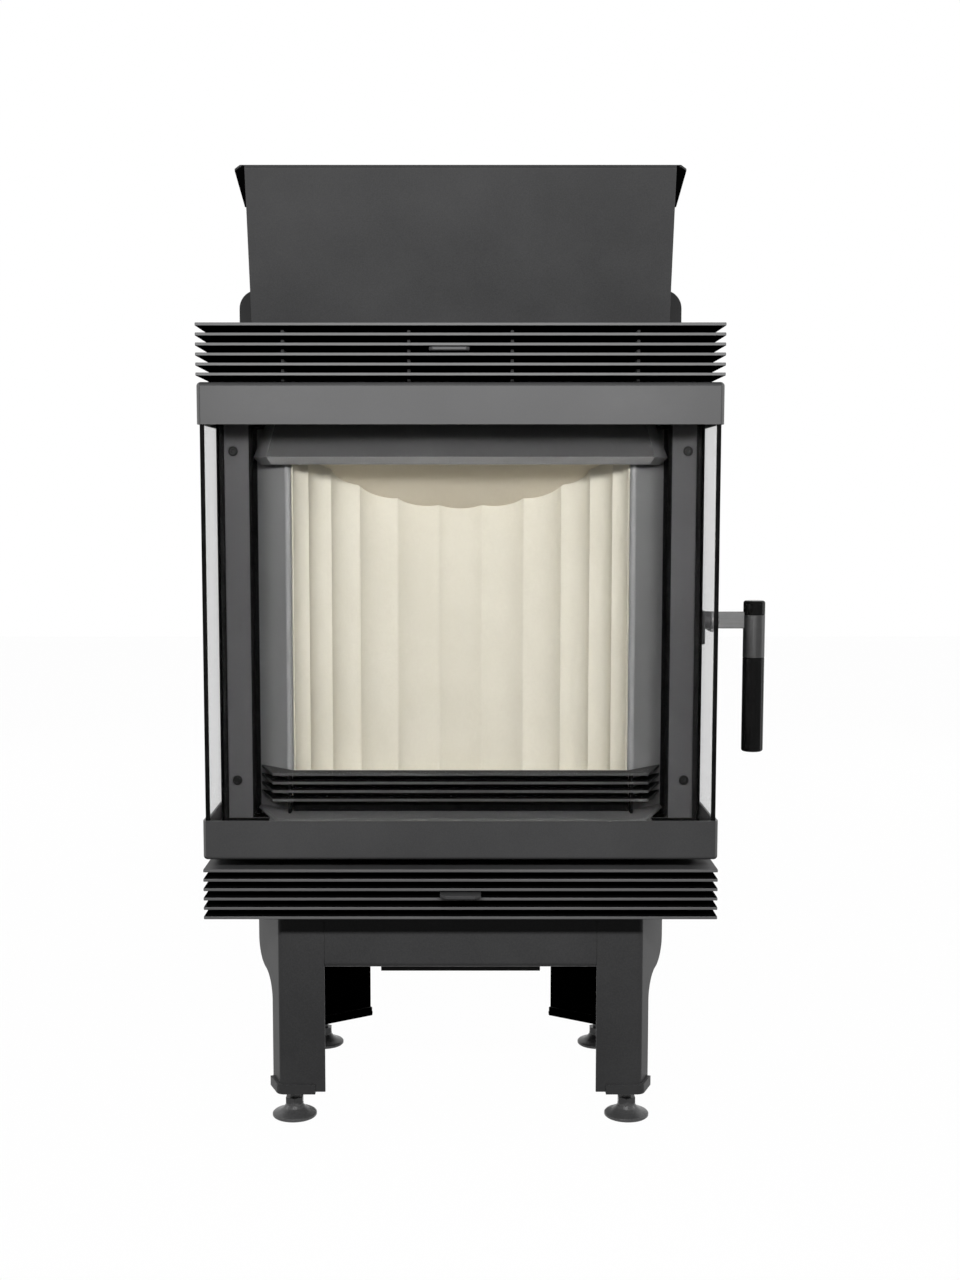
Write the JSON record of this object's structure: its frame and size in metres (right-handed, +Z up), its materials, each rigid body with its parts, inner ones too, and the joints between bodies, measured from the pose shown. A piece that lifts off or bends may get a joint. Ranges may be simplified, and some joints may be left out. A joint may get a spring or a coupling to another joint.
{
  "type": "fireplace insert",
  "caption": "Free-standing steel fireplace insert with a three-sided glazed door, fluted cream lining, louvred air bands, side handle and levelling feet.",
  "frame": {"origin": "floor point under the middle of the front edge of the louvres, feet fully drawn in", "axes": "+X to the right seen from the front, +Y to the back, +Z up"},
  "size_m": [0.5615, 0.354, 0.9504],
  "materials": {
    "body_paint": "satin anthracite heat-resistant paint",
    "lining": "matt cream moulded lining",
    "baffle": "matt cream moulded slab",
    "hearth": "matt fireclay",
    "iron": "as cast, blackened",
    "glass": "clear ceramic glass",
    "seal": "black glass-fibre cord",
    "fittings": "dark plated steel",
    "bare_steel": "brushed grey steel",
    "grip": "glossy black heat-resistant plastic"
  },
  "bodies": {
    "stove": {"air_inlet_spigot": "body_paint", "air_slider_guides": "body_paint", "air_wash_hood": "body_paint", "ash_box": "body_paint", "ash_lip": "body_paint", "ash_pan": "body_paint", "base_plate": "body_paint", "bottom_louvres": "body_paint", "cheek_plates": "body_paint", "door_posts": "body_paint", "firebox_shell": "body_paint", "flue_collar": "body_paint", "foot_brackets": "body_paint", "front_apron": "body_paint", "front_header": "body_paint", "front_legs": "body_paint", "front_sill": "body_paint", "grate": "iron", "hearth_plate": "body_paint", "hearth_stone": "hearth", "heat_deflector": "body_paint", "hinge_brackets": "body_paint", "latch_keeper": "fittings", "lining_back": "lining", "lining_sides": "lining", "lock_nuts": "fittings", "log_guard": "body_paint", "louvre_ribs": "body_paint", "post_screws": "fittings", "rear_heat_shield": "body_paint", "rear_legs": "body_paint", "shield_spacers": "fittings", "smoke_baffle": "baffle", "smoke_dome": "body_paint", "top_louvres": "body_paint", "top_plate": "body_paint"},
    "door": {"door_top_tray": "body_paint", "door_bottom_tray": "body_paint", "glass_front": "glass", "glass_sides": "glass", "door_stiles": "body_paint", "door_seals": "seal", "hinge_pins": "fittings", "handle_bush": "body_paint"},
    "handle": {"handle_arm": "bare_steel", "latch_hook": "fittings", "grip_sleeve": "bare_steel", "handle_grip": "grip", "grip_cap": "grip"},
    "air_control": {"air_slider": "body_paint"},
    "ignition_control": {"ignition_slider": "body_paint"},
    "foot_front_left": {"foot_front_left": "fittings"},
    "foot_front_right": {"foot_front_right": "fittings"},
    "foot_rear_left": {"foot_rear_left": "fittings"},
    "foot_rear_right": {"foot_rear_right": "fittings"}
  },
  "joints": [
    {"name": "door_hinge", "type": "hinge", "parent": "stove", "child": "door", "pos_m": [-0.245, 0.1, 0.5], "axis": [0, 0, -1], "range_deg": [0, 100]},
    {"name": "handle_turn", "type": "hinge", "parent": "door", "child": "handle", "pos_m": [0.25, 0.1, 0.5045], "axis": [-1, 0, 0], "range_deg": [0, 60]},
    {"name": "air_slide", "type": "slide", "parent": "stove", "child": "air_control", "axis": [1, 0, 0], "range_m": [-0.0144, 0.0356]},
    {"name": "ignition_slide", "type": "slide", "parent": "stove", "child": "ignition_control", "axis": [0, -1, 0], "range_m": [0, 0.03]},
    {"name": "foot_front_left_level", "type": "slide", "parent": "stove", "child": "foot_front_left", "axis": [0, 0, 1], "range_m": [-0.025, 0]},
    {"name": "foot_front_right_level", "type": "slide", "parent": "stove", "child": "foot_front_right", "axis": [0, 0, 1], "range_m": [-0.025, 0]},
    {"name": "foot_rear_left_level", "type": "slide", "parent": "stove", "child": "foot_rear_left", "axis": [0, 0, 1], "range_m": [-0.025, 0]},
    {"name": "foot_rear_right_level", "type": "slide", "parent": "stove", "child": "foot_rear_right", "axis": [0, 0, 1], "range_m": [-0.025, 0]}
  ]
}
